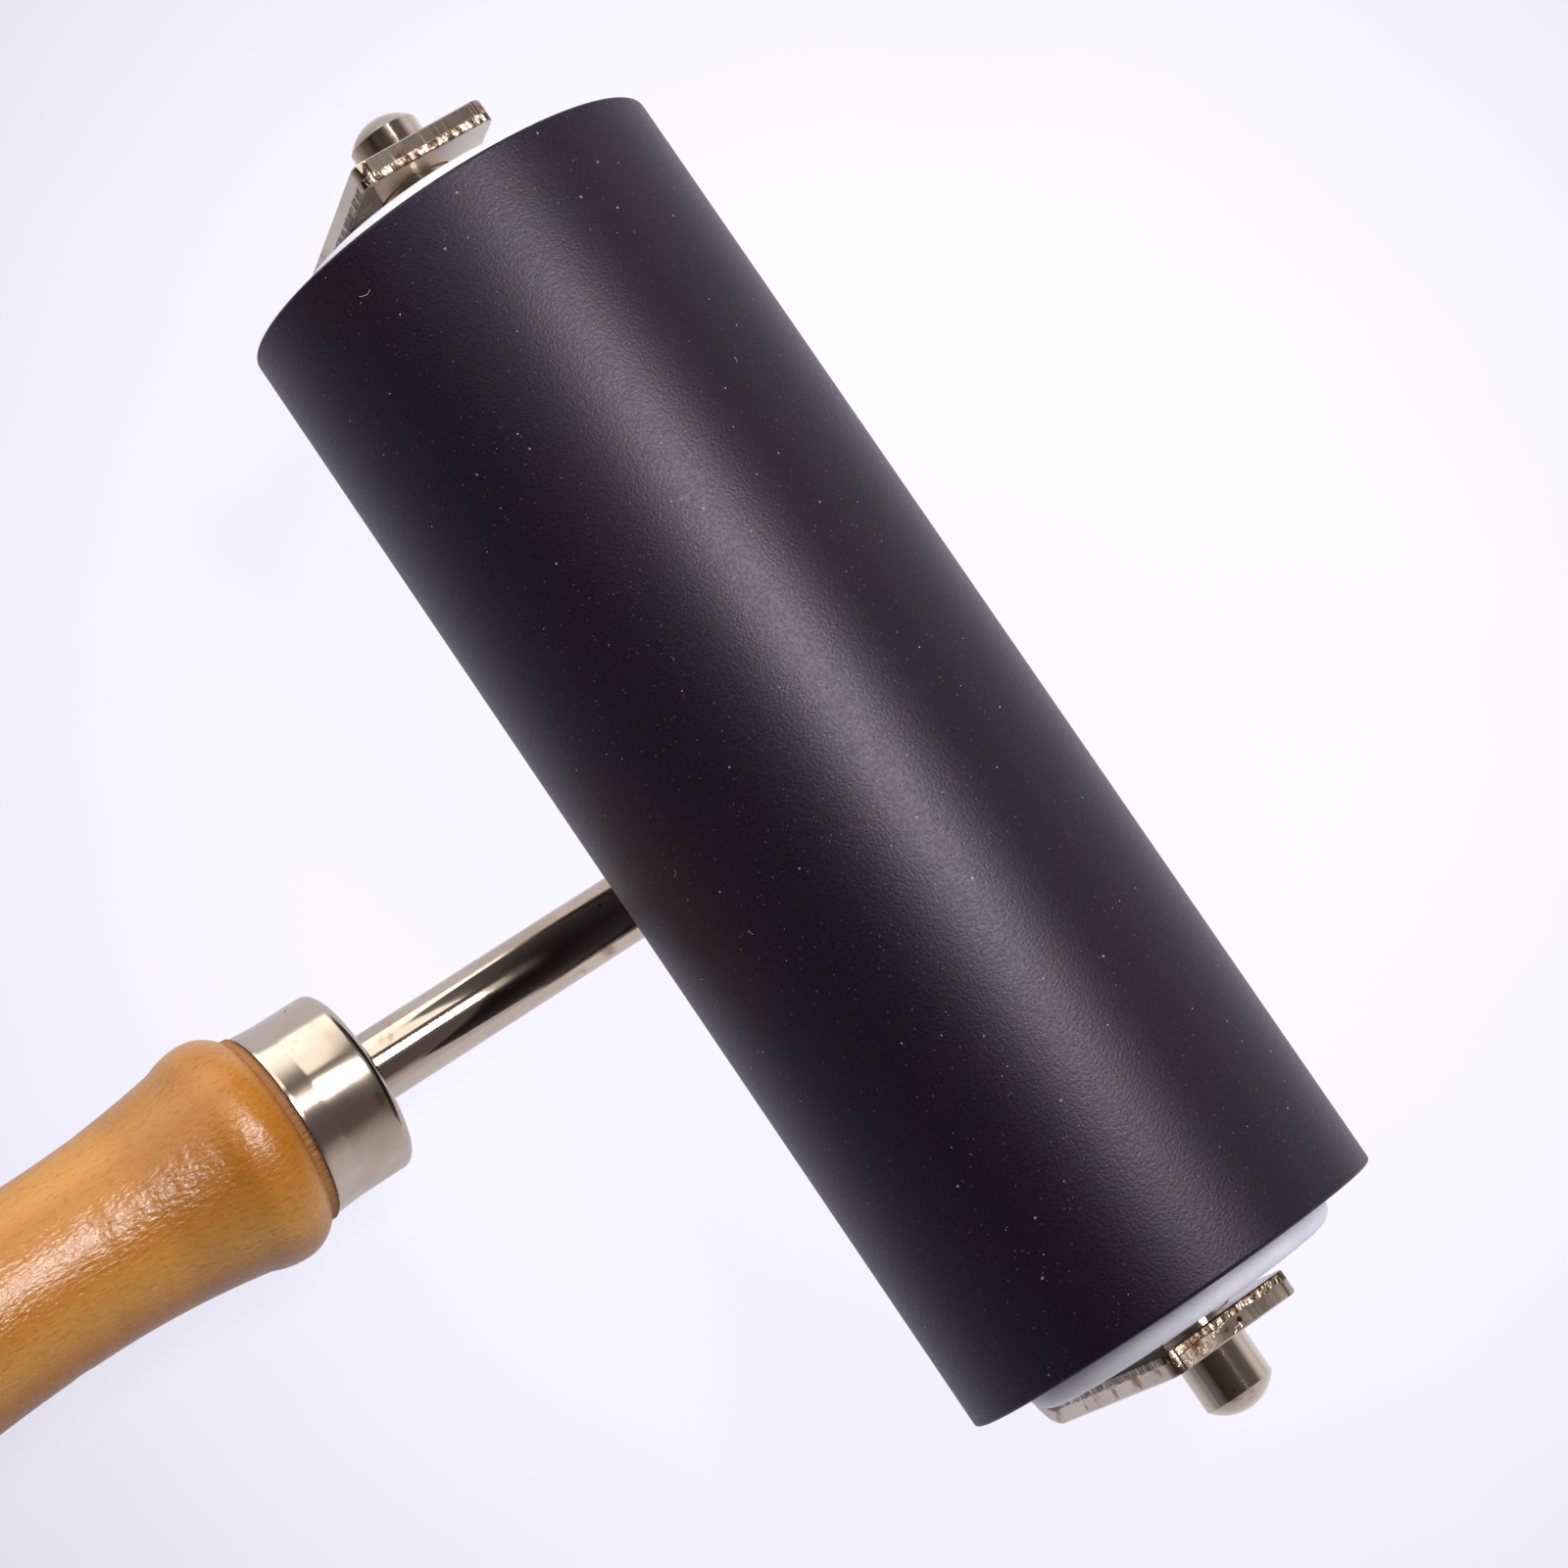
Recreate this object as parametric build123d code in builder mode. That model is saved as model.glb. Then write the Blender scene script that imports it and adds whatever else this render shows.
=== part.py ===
from build123d import *
from math import asin, atan2, cos, hypot, sin, sqrt
import os

# Hand brayer lying on its back, with the rubber roller held up in a yoke of bent steel strip.
# X runs forward from the handle to the roller, Y to the left along the axle, and Z up.
# The origin is on the table, under the middle of the whole brayer. Sizes are in millimetres.

# Rubber sleeve and its core
roller_length = 100.0
roller_diameter = 36.6
rubber_wall = 4.6
rubber_edge_round = 0.35
core_wall = 2.0

# Plastic end caps, pushed into the core
cap_flange = 2.0            # stands out past the rubber
cap_edge_round = 1.5
cap_plug_depth = 12.0
cap_web = 3.0
cap_rim_wall = 1.8
cap_hub_wall = 3.0
cap_bore_chamfer = 0.4

# Axle and the two push-on washers that keep the roller on it
axle_diameter = 6.0
axle_stand_out = 4.95       # past each arm's outer face, when centred
axle_dome_height = 1.5
axle_cap_clearance = 0.05   # radial, in the bores of the end caps
axle_arm_clearance = 0.10   # radial, in the holes of the arms
washer_diameter = 13.0
washer_thickness = 0.7
washer_tooth_count = 6
washer_slot_width = 0.9
washer_slot_depth = 1.6

# Play along the axle
side_play = 3.7             # all the room between the end caps and the two arms
right_gap = 0.85            # the part of it that lies at the right arm at rest
washer_play = 0.7           # the roller's own play between the two washers
touch_gap = 0.05            # left between faces that rest against each other across a joint

# Yoke, one strip bent into a U
strip_width = 12.2
strip_thickness = 2.0
bend_radius = 3.8           # outside of the bend
back_gap = 5.2              # from the rubber to the strip's back
tip_length = 6.9            # from the axle's middle to the end of an arm
tip_corner_round = 1.0

# Shank, a straight round rod welded across the yoke's back
shank_diameter = 6.0
shank_front_inset = 0.6     # its front end stays behind the strip's front edge
shank_end_chamfer = 0.6
shank_reach = 37.0          # from under the axle to the front of the ferrule
shank_tang = 45.0           # from the front of the ferrule to the end inside the handle
weld_radius = 1.7
weld_drop = 1.3             # from the strip's face to the middle of a weld bead
weld_inset = 0.8            # its ends stay inside the strip's edges

# Ferrule, a drawn metal cup
ferrule_diameter = 16.5
ferrule_length = 7.6
ferrule_wall = 0.7
ferrule_edge_round = 1.5
ferrule_hole_clearance = 0.15

# Turned wooden handle, measured along its axis
shoulder_length = 0.8       # plain ring behind the ferrule
shoulder_step = 0.25        # stands out past the ferrule
bead_rise = 1.5             # bead over the shoulder
bead_front = 3.0            # from the shoulder to the top of the bead
bead_back = 3.0             # from there to the start of the hollow
waist_run = 14.6            # from the end of the bead to the narrowest place
waist_diameter = 16.0
waist_front_radius = 80.0
waist_rear_radius = 120.0
swell_run = 57.5            # from the narrowest place to the widest
swell_diameter = 25.0
butt_run = 16.5             # from the widest place to the rounded butt
butt_side_radius = 60.0
butt_dome_radius = 16.0
butt_edge_round = 5.0
tang_hole_spare = 1.0       # the drilled hole runs this much past the tang

# Radii that follow
roller_radius = roller_diameter / 2
core_radius = roller_radius - rubber_wall
plug_radius = core_radius - core_wall
axle_radius = axle_diameter / 2
shank_radius = shank_diameter / 2
ferrule_radius = ferrule_diameter / 2
tenon_radius = ferrule_radius - ferrule_wall

# Places along the axle, from its middle
yoke_inside = roller_length + 2 * cap_flange + side_play
yoke_outside = yoke_inside + 2 * strip_thickness
axle_length = yoke_outside + 2 * axle_stand_out
roller_middle = touch_gap - washer_play / 2
yoke_middle = roller_middle + side_play / 2 - right_gap
washer_face = roller_length / 2 - cap_plug_depth - washer_play / 2

# Outline of the handle: distance behind the ferrule's front, and radius
shoulder_radius = ferrule_radius + shoulder_step
shoulder_end = ferrule_length + shoulder_length
bead_radius = shoulder_radius + bead_rise
bead_top = shoulder_end + bead_front
bead_end = bead_top + bead_back
waist_radius = waist_diameter / 2
waist_at = bead_end + waist_run
hollow_radius = waist_radius + waist_front_radius - sqrt(waist_front_radius**2 - waist_run**2)
bead_drop = bead_radius - hollow_radius
bead_front_radius = (bead_front**2 + bead_rise**2) / (2 * bead_rise)
bead_back_radius = (bead_back**2 + bead_drop**2) / (2 * bead_drop)
swell_radius = swell_diameter / 2
swell_at = waist_at + swell_run
swell_rise = swell_radius - waist_radius
swell_side_radius = (swell_run**2 + swell_rise**2) / (2 * swell_rise) - waist_rear_radius
flank_angle = 2 * atan2(swell_rise, swell_run)
flank_at = waist_at + waist_rear_radius * sin(flank_angle)
flank_radius = waist_radius + waist_rear_radius * (1 - cos(flank_angle))
butt_at = swell_at + butt_run
butt_radius = swell_radius - butt_side_radius + sqrt(butt_side_radius**2 - butt_run**2)
dome_middle = butt_at - sqrt(butt_dome_radius**2 - butt_radius**2)
dome_end = dome_middle + butt_dome_radius

# The brayer lies on the front end of its shank and on the bead of its handle, so it leans
# forward. Its own axes start on the shank's axis under the axle: x forward and z to the axle.
axle_height = shank_radius + strip_thickness + back_gap + roller_radius
shank_front = strip_width / 2 - shank_front_inset
lean_run = shank_front - shank_end_chamfer + shank_reach + bead_top
lean_drop = bead_radius - bead_front_radius - shank_radius
lean = asin(bead_front_radius / hypot(lean_run, lean_drop)) + atan2(lean_drop, lean_run)
rest_height = (shank_front - shank_end_chamfer) * sin(lean) + shank_radius * cos(lean)

# The origin is halfway between the front of the roller and the end of the handle
reach_forward = axle_height * sin(lean) + roller_radius
reach_back = (shank_reach + dome_middle) * cos(lean) + butt_dome_radius
lying = Plane(
    origin=((reach_back - reach_forward) / 2, 0, rest_height),
    x_dir=(cos(lean), 0, -sin(lean)),
    z_dir=(sin(lean), 0, cos(lean)),
)


def own_plane(origin, x_dir, z_dir):
    """Plane given in the brayer's own axes."""
    return Plane(lying * Plane(origin=origin, x_dir=x_dir, z_dir=z_dir))


axle_plane = own_plane((0, 0, axle_height), (1, 0, 0), (0, 1, 0))
half_axle_plane = own_plane((0, 0, axle_height), (0, 1, 0), (1, 0, 0))
strip_plane = own_plane((0, 0, 0), (0, 1, 0), (1, 0, 0))
handle_plane = own_plane((-shank_reach, 0, 0), (-1, 0, 0), (0, 1, 0))
ferrule_plane = own_plane((-shank_reach, 0, 0), (0, 1, 0), (-1, 0, 0))
axle_axis = Axis(half_axle_plane.origin, half_axle_plane.x_dir)
handle_axis = Axis(handle_plane.origin, handle_plane.x_dir)
arm_axis = Axis(strip_plane.origin, strip_plane.y_dir)
os.makedirs("parts", exist_ok=True)


# Roller
with BuildPart() as rubber_sleeve:
    with BuildSketch(axle_plane.offset(roller_middle)):
        Circle(roller_radius)
        Circle(core_radius, mode=Mode.SUBTRACT)
    extrude(amount=roller_length / 2, both=True)
    rims = rubber_sleeve.edges().filter_by(GeomType.CIRCLE).group_by(SortBy.RADIUS)[-1]
    fillet(rims, radius=rubber_edge_round)
rubber_sleeve.part.label = "rubber_sleeve"
export_step(rubber_sleeve.part, "parts/rubber_sleeve.step")

with BuildPart() as core_tube:
    with BuildSketch(axle_plane.offset(roller_middle)):
        Circle(core_radius)
        Circle(plug_radius, mode=Mode.SUBTRACT)
    extrude(amount=roller_length / 2, both=True)
core_tube.part.label = "core_tube"
export_step(core_tube.part, "parts/core_tube.step")

cap_bore_radius = axle_radius + axle_cap_clearance
cap_hub_radius = cap_bore_radius + cap_hub_wall
cap_rim_radius = plug_radius - cap_rim_wall
for side, outward in (("left", 1), ("right", -1)):
    cap_seat = (0, roller_middle + outward * roller_length / 2, axle_height)
    cap_plane = own_plane(cap_seat, (0, outward, 0), (outward, 0, 0))
    with BuildPart() as end_cap:
        with BuildSketch(cap_plane) as cap_profile:
            with BuildLine():
                Polyline(
                    (cap_flange, cap_bore_radius),
                    (cap_flange, core_radius),
                    (0, core_radius),
                    (0, plug_radius),
                    (-cap_plug_depth, plug_radius),
                    (-cap_plug_depth, cap_rim_radius),
                    (-cap_web, cap_rim_radius),
                    (-cap_web, cap_hub_radius),
                    (-cap_plug_depth, cap_hub_radius),
                    (-cap_plug_depth, cap_bore_radius),
                    close=True,
                )
            make_face()
            bore_corner, rim_corner = cap_profile.vertices().group_by(Axis.X)[-1].sort_by(Axis.Y)
            chamfer(bore_corner, length=cap_bore_chamfer)
            fillet(rim_corner, radius=cap_edge_round)
        revolve(axis=axle_axis)
    end_cap.part.label = f"end_cap_{side}"
    export_step(end_cap.part, f"parts/end_cap_{side}.step")


# Axle and washers
dome_radius = (axle_radius**2 + axle_dome_height**2) / (2 * axle_dome_height)
dome_start = axle_length / 2 - axle_dome_height
with BuildPart() as axle:
    with BuildSketch(half_axle_plane):
        with BuildLine():
            Line((-axle_length / 2, 0), (axle_length / 2, 0))
            RadiusArc((axle_length / 2, 0), (dome_start, axle_radius), -dome_radius)
            Line((dome_start, axle_radius), (-dome_start, axle_radius))
            RadiusArc((-dome_start, axle_radius), (-axle_length / 2, 0), -dome_radius)
        make_face()
    revolve(axis=axle_axis)
axle.part.label = "axle"
export_step(axle.part, "parts/axle.step")

for side, outward in (("left", 1), ("right", -1)):
    with BuildPart() as retaining_washer:
        with BuildSketch(axle_plane.offset(outward * washer_face)):
            Circle(washer_diameter / 2)
            Circle(axle_radius, mode=Mode.SUBTRACT)
            with PolarLocations(axle_radius, washer_tooth_count):
                Rectangle(2 * washer_slot_depth, washer_slot_width, mode=Mode.SUBTRACT)
        extrude(amount=-outward * washer_thickness)
    retaining_washer.part.label = f"retaining_washer_{side}"
    export_step(retaining_washer.part, f"parts/retaining_washer_{side}.step")


# Yoke
with BuildPart() as yoke:
    with BuildSketch(strip_plane):
        with BuildLine():
            left_face = yoke_middle + yoke_outside / 2
            right_face = yoke_middle - yoke_outside / 2
            FilletPolyline(
                (left_face, axle_height + tip_length),
                (left_face, shank_radius),
                (right_face, shank_radius),
                (right_face, axle_height + tip_length),
                radius=bend_radius,
            )
            offset(amount=strip_thickness, side=Side.RIGHT)
        make_face()
    extrude(amount=strip_width / 2, both=True)
    tip_corners = yoke.edges().filter_by(Axis.Y).group_by(arm_axis)[-1]
    fillet(tip_corners, radius=tip_corner_round)
    with BuildSketch(axle_plane):
        Circle(axle_radius + axle_arm_clearance)
    extrude(amount=yoke_outside, both=True, mode=Mode.SUBTRACT)
yoke.part.label = "yoke"
export_step(yoke.part, "parts/yoke.step")


# Shank and welds
with BuildPart() as shank:
    with BuildSketch(strip_plane.offset(shank_front)):
        Circle(shank_radius)
    extrude(amount=-(shank_front + shank_reach + shank_tang))
    chamfer(shank.faces().filter_by(GeomType.PLANE).edges(), length=shank_end_chamfer)
shank.part.label = "shank"
export_step(shank.part, "parts/shank.step")

with BuildPart() as weld_beads:
    with BuildSketch(strip_plane):
        with Locations((-shank_radius, shank_radius - weld_drop), (shank_radius, shank_radius - weld_drop)):
            Circle(weld_radius)
        Circle(shank_radius, mode=Mode.SUBTRACT)
        with Locations((0, shank_radius)):
            Rectangle(yoke_inside, 2 * weld_radius, align=(Align.CENTER, Align.MIN), mode=Mode.SUBTRACT)
    extrude(amount=strip_width / 2 - weld_inset, both=True)
weld_beads.part.label = "weld_beads"
export_step(weld_beads.part, "parts/weld_beads.step")


# Ferrule and handle
with BuildPart() as ferrule:
    with BuildSketch(ferrule_plane):
        Circle(ferrule_radius)
    extrude(amount=ferrule_length)
    fillet(ferrule.edges().sort_by(handle_axis)[0], radius=ferrule_edge_round)
    offset(amount=-ferrule_wall, openings=ferrule.faces().sort_by(handle_axis)[-1])
    with BuildSketch(ferrule_plane):
        Circle(shank_radius + ferrule_hole_clearance)
    extrude(amount=ferrule_length, mode=Mode.SUBTRACT)
ferrule.part.label = "ferrule"
export_step(ferrule.part, "parts/ferrule.step")

with BuildPart() as handle:
    with BuildSketch(handle_plane) as handle_profile:
        with BuildLine():
            Polyline(
                (dome_end, 0),
                (shank_tang + tang_hole_spare, 0),
                (shank_tang + tang_hole_spare, shank_radius),
                (ferrule_wall, shank_radius),
                (ferrule_wall, tenon_radius),
                (ferrule_length, tenon_radius),
                (ferrule_length, shoulder_radius),
                (shoulder_end, shoulder_radius),
            )
            RadiusArc((shoulder_end, shoulder_radius), (bead_top, bead_radius), bead_front_radius)
            RadiusArc((bead_top, bead_radius), (bead_end, hollow_radius), bead_back_radius)
            RadiusArc((bead_end, hollow_radius), (waist_at, waist_radius), -waist_front_radius)
            RadiusArc((waist_at, waist_radius), (flank_at, flank_radius), -waist_rear_radius)
            RadiusArc((flank_at, flank_radius), (swell_at, swell_radius), swell_side_radius)
            RadiusArc((swell_at, swell_radius), (butt_at, butt_radius), butt_side_radius)
            RadiusArc((butt_at, butt_radius), (dome_end, 0), butt_dome_radius)
        make_face()
        fillet(handle_profile.vertices().sort_by(Axis.X)[-2], radius=butt_edge_round)
        tenon_corner = handle_profile.vertices().group_by(Axis.X)[0].sort_by(Axis.Y)[-1]
        fillet(tenon_corner, radius=ferrule_edge_round - ferrule_wall)
    revolve(axis=handle_axis)
handle.part.label = "handle"
export_step(handle.part, "parts/handle.step")
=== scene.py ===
import math
import random
import bmesh
import bpy
from mathutils import Matrix, Vector
from mathutils import noise as mathNoise


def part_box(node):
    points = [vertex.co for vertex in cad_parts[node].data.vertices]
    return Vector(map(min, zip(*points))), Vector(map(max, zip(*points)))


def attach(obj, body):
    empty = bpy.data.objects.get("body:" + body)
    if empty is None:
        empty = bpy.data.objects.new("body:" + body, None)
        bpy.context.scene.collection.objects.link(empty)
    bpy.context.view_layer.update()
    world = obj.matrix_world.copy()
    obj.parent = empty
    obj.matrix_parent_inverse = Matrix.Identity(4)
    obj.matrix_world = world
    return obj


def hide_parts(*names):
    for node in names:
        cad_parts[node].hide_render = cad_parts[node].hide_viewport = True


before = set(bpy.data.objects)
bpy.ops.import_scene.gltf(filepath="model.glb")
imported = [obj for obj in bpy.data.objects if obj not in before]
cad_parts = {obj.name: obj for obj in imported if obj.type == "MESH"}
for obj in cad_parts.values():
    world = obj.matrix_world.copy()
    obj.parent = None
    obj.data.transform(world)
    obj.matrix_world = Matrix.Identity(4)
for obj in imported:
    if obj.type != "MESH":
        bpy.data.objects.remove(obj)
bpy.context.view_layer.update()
print("frame loaded:", len(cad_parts), "CAD nodes")

mm = 0.001

# the brayer lies on its back: its own axes run forward along the shank, left along the axle, up to the axle
stance = {"lean": math.radians(7.516), "axleHeight": 28.5 * mm}
axleLow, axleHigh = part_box("axle")
axleCentre = (axleLow + axleHigh) / 2
forward = Vector((math.cos(stance["lean"]), 0, -math.sin(stance["lean"])))
leftward = Vector((0, 1, 0))
upward = Vector((math.sin(stance["lean"]), 0, math.cos(stance["lean"])))
shankZero = axleCentre - upward * stance["axleHeight"]
rubberLow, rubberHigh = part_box("rubber_sleeve")
rollerMiddle = (rubberLow.y + rubberHigh.y) / 2
scene = bpy.context.scene


def inWorld(ahead, aside, above):
    # a point given in the brayer's own axes
    return shankZero + forward * ahead + leftward * aside + upward * above


def placeAlong(origin, along, across):
    # matrix whose z runs along, whose x runs across
    sideways = along.cross(across)
    place = Matrix((across, sideways, along)).transposed().to_4x4()
    place.translation = origin
    return place


# nodes

def setInputs(tree, node, values):
    # sockets are linked, anything else is a fixed value
    for key, value in values.items():
        if isinstance(value, bpy.types.NodeSocket):
            tree.links.new(value, node.inputs[key])
        else:
            node.inputs[key].default_value = value


def addNode(tree, kind, values=None, **settings):
    node = tree.nodes.new(kind)
    for key, value in settings.items():
        setattr(node, key, value)
    setInputs(tree, node, values or {})
    return node


def maths(tree, operation, *values):
    return addNode(tree, "ShaderNodeMath", dict(enumerate(values)), operation=operation).outputs[0]


def mapRange(tree, value, taken=(0.0, 1.0), given=(0.0, 1.0), kind="LINEAR"):
    return addNode(tree, "ShaderNodeMapRange", {
        "Value": value, "From Min": taken[0], "From Max": taken[1], "To Min": given[0], "To Max": given[1]},
        interpolation_type=kind).outputs[0]


def noiseOf(tree, vector, scale, detail=2.0, roughness=0.5):
    return addNode(tree, "ShaderNodeTexNoise", {
        "Vector": vector, "Scale": scale, "Detail": detail, "Roughness": roughness}).outputs[0]


def stretched(tree, vector, scale):
    return addNode(tree, "ShaderNodeMapping", {"Vector": vector, "Scale": scale}).outputs[0]


def fromGroup(tree, group, **values):
    return addNode(tree, "ShaderNodeGroup", values, node_tree=group).outputs[0]


def blendColours(tree, factor, first, second):
    return addNode(tree, "ShaderNodeMix", {0: factor, 6: first, 7: second}, data_type="RGBA").outputs[2]


def addBump(tree, surface, height, distance, strength, before=None):
    values = {"Height": height, "Distance": distance, "Strength": strength}
    if before is not None:
        values["Normal"] = before
    normal = addNode(tree, "ShaderNodeBump", values).outputs[0]
    tree.links.new(normal, surface.inputs["Normal"])
    return normal


def randomBetween(tree, low, high, seed):
    node = addNode(tree, "FunctionNodeRandomValue", {2: low, 3: high, "Seed": seed}, data_type="FLOAT")
    return node.outputs[1]


def vectorOf(tree, **parts):
    return addNode(tree, "ShaderNodeCombineXYZ", parts).outputs[0]


def finishTree(tree, geometry, inputs, outputs, smooth=False):
    # real geometry with the finish on it goes to the tree's output
    geometry = addNode(tree, "GeometryNodeRealizeInstances", {"Geometry": geometry}).outputs[0]
    if smooth:
        geometry = addNode(tree, "GeometryNodeSetShadeSmooth", {"Geometry": geometry}).outputs[0]
    finished = addNode(tree, "GeometryNodeSetMaterial", {"Geometry": geometry, "Material": inputs["Finish"]})
    tree.links.new(finished.outputs[0], outputs["Geometry"])


def startTree(name, kind, inputs, outputs):
    tree = bpy.data.node_groups.new(name, kind)
    for label, socketType, default in inputs:
        socket = tree.interface.new_socket(name=label, in_out="INPUT", socket_type=socketType)
        if default is not None:
            socket.default_value = default
    for label, socketType in outputs:
        tree.interface.new_socket(name=label, in_out="OUTPUT", socket_type=socketType)
    return tree, tree.nodes.new("NodeGroupInput").outputs, tree.nodes.new("NodeGroupOutput").inputs


def runTree(source, tree, values, name, place=None):
    # the modifier's result as a plain mesh object of its own
    modifier = source.modifiers.new(tree.name, "NODES")
    modifier.node_group = tree
    identifiers = {item.name: item.identifier for item in tree.interface.items_tree if item.in_out == "INPUT"}
    for label, value in values.items():
        modifier[identifiers[label]] = value
    evaluated = source.evaluated_get(bpy.context.evaluated_depsgraph_get())
    mesh = bpy.data.meshes.new_from_object(evaluated)
    source.modifiers.remove(modifier)
    if place is not None:
        mesh.transform(place)
    mesh.name = name
    piece = bpy.data.objects.new(name, mesh)
    scene.collection.objects.link(piece)
    return piece


def plainObject(name, points, edges, faces):
    mesh = bpy.data.meshes.new(name)
    mesh.from_pydata(points, edges, faces)
    obj = bpy.data.objects.new(name, mesh)
    scene.collection.objects.link(obj)
    return obj


def tidyMesh(piece, sharpAngle=32):
    # merged, turned outwards, smooth but for its real edges
    work = bmesh.new()
    work.from_mesh(piece.data)
    bmesh.ops.remove_doubles(work, verts=work.verts, dist=1e-6)
    bmesh.ops.recalc_face_normals(work, faces=work.faces)
    work.to_mesh(piece.data)
    work.free()
    piece.data.shade_smooth()
    piece.data.set_sharp_from_angle(angle=math.radians(sharpAngle))


def paintPoints(piece, name, rule):
    # a number on every vertex, for the materials to read
    attribute = piece.data.attributes.new(name, "FLOAT", "POINT")
    attribute.data.foreach_set("value", [rule(vertex.co) for vertex in piece.data.vertices])


# shader groups

def makeSpeckGroup():
    # round specks of mixed sizes, one at most in each cell
    tree, inputs, outputs = startTree("dustSpecks", "ShaderNodeTree", [
        ("Vector", "NodeSocketVector", None), ("Spacing", "NodeSocketFloat", 300.0),
        ("Size", "NodeSocketFloat", 0.05), ("Share", "NodeSocketFloat", 0.3)],
        [("Mask", "NodeSocketFloat")])
    cells = addNode(tree, "ShaderNodeTexVoronoi", {"Vector": inputs["Vector"], "Scale": inputs["Spacing"]})
    pick = addNode(tree, "ShaderNodeSeparateColor", {"Color": cells.outputs["Color"]})
    chosen = maths(tree, "LESS_THAN", pick.outputs["Red"], inputs["Share"])
    size = maths(tree, "MULTIPLY", pick.outputs["Green"], inputs["Size"])
    near = maths(tree, "LESS_THAN", cells.outputs["Distance"], size)
    tree.links.new(maths(tree, "MULTIPLY", chosen, near), outputs["Mask"])
    return tree


def makeBlotchGroup():
    tree, inputs, outputs = startTree("softBlotches", "ShaderNodeTree", [
        ("Vector", "NodeSocketVector", None), ("Scale", "NodeSocketFloat", 100.0),
        ("Detail", "NodeSocketFloat", 4.0), ("Low", "NodeSocketFloat", 0.4), ("High", "NodeSocketFloat", 0.7)],
        [("Mask", "NodeSocketFloat")])
    cloud = noiseOf(tree, inputs["Vector"], inputs["Scale"], inputs["Detail"], 0.6)
    mask = mapRange(tree, cloud, (inputs["Low"], inputs["High"]), kind="SMOOTHSTEP")
    tree.links.new(mask, outputs["Mask"])
    return tree


def makeScratchGroup():
    # thin broken lines, longest along the axis that the stretch leaves alone
    tree, inputs, outputs = startTree("fineScratches", "ShaderNodeTree", [
        ("Vector", "NodeSocketVector", None), ("Scale", "NodeSocketFloat", 60.0),
        ("Stretch", "NodeSocketVector", (1.0, 14.0, 14.0)), ("Width", "NodeSocketFloat", 0.03)],
        [("Mask", "NodeSocketFloat")])
    drawn = addNode(tree, "ShaderNodeVectorMath", {0: inputs["Vector"], 1: inputs["Stretch"]}, operation="MULTIPLY")
    ridge = noiseOf(tree, drawn.outputs[0], inputs["Scale"])
    size = maths(tree, "ABSOLUTE", maths(tree, "SUBTRACT", ridge, 0.5))
    line = maths(tree, "LESS_THAN", size, inputs["Width"])
    shown = maths(tree, "GREATER_THAN", noiseOf(tree, inputs["Vector"], inputs["Scale"], 1.0), 0.56)
    tree.links.new(maths(tree, "MULTIPLY", line, shown), outputs["Mask"])
    return tree


speckGroup = makeSpeckGroup()
blotchGroup = makeBlotchGroup()
scratchGroup = makeScratchGroup()


def startMaterial(name, turned=True):
    # turned lays the pattern along the shank, not along the world's x
    material = bpy.data.materials.new(name)
    material.use_nodes = True
    tree = material.node_tree
    place = addNode(tree, "ShaderNodeTexCoord").outputs["Object"]
    if turned:
        place = addNode(tree, "ShaderNodeMapping", {
            "Vector": place, "Rotation": (0.0, -stance["lean"], 0.0)}).outputs[0]
    return material, tree, tree.nodes["Principled BSDF"], place


def colour(red, green, blue):
    # from the eight-bit colour that a screen shows
    shown = [value / 255 for value in (red, green, blue)]
    return tuple(v / 12.92 if v <= 0.04045 else ((v + 0.055) / 1.055) ** 2.4 for v in shown) + (1.0,)


def scaled(tone, factor):
    return tuple(v * factor for v in tone[:3]) + (1.0,)


# materials

rubberLook = {"dark": colour(9, 4, 22), "warm": colour(19, 5, 11), "cloud": {"Scale": 45.0, "Low": 0.35, "High": 0.7},
              "grainScale": 4300.0, "grainHeight": 0.036 * mm, "grainStrength": 0.7, "roughness": (0.33, 0.54),
              "specular": 0.48, "sheen": (0.88, 0.79, 1.0, 1.0),
              "powder": colour(66, 52, 60), "powderSpots": {"Spacing": 3300.0, "Size": 0.3, "Share": 0.2},
              "dust": (colour(128, 120, 124), colour(150, 104, 92)),
              "dustSpots": {"Spacing": 1000.0, "Size": 0.12, "Share": 0.2}}


def makeRubber():
    look = rubberLook
    material, tree, surface, place = startMaterial("blackRubber", turned=False)
    grain = noiseOf(tree, place, look["grainScale"])
    cloud = fromGroup(tree, blotchGroup, Vector=place, **look["cloud"])
    powder = fromGroup(tree, speckGroup, Vector=place, **look["powderSpots"])
    dust = fromGroup(tree, speckGroup, Vector=place, **look["dustSpots"])
    base = blendColours(tree, cloud, look["dark"], look["warm"])
    base = blendColours(tree, powder, base, look["powder"])
    base = blendColours(tree, dust, base, blendColours(tree, cloud, *look["dust"]))
    setInputs(tree, surface, {
        "Base Color": base, "Roughness": mapRange(tree, grain, given=look["roughness"]),
        "Specular IOR Level": look["specular"], "Specular Tint": look["sheen"]})
    addBump(tree, surface, grain, look["grainHeight"], look["grainStrength"])
    return material


plasticLook = {"white": colour(236, 238, 247), "shade": colour(222, 224, 236), "roughness": (0.28, 0.4),
               "cloud": {"Scale": 120.0, "Low": 0.35, "High": 0.7}, "stain": colour(150, 96, 60),
               "stainSpots": {"Spacing": 170.0, "Size": 0.09, "Share": 0.3},
               "fineScale": 1500.0, "fineHeight": 0.01 * mm, "fineStrength": 0.4,
               "softness": 0.25, "softTint": (1.0, 1.0, 1.1), "softDepth": 0.8 * mm}


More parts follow.
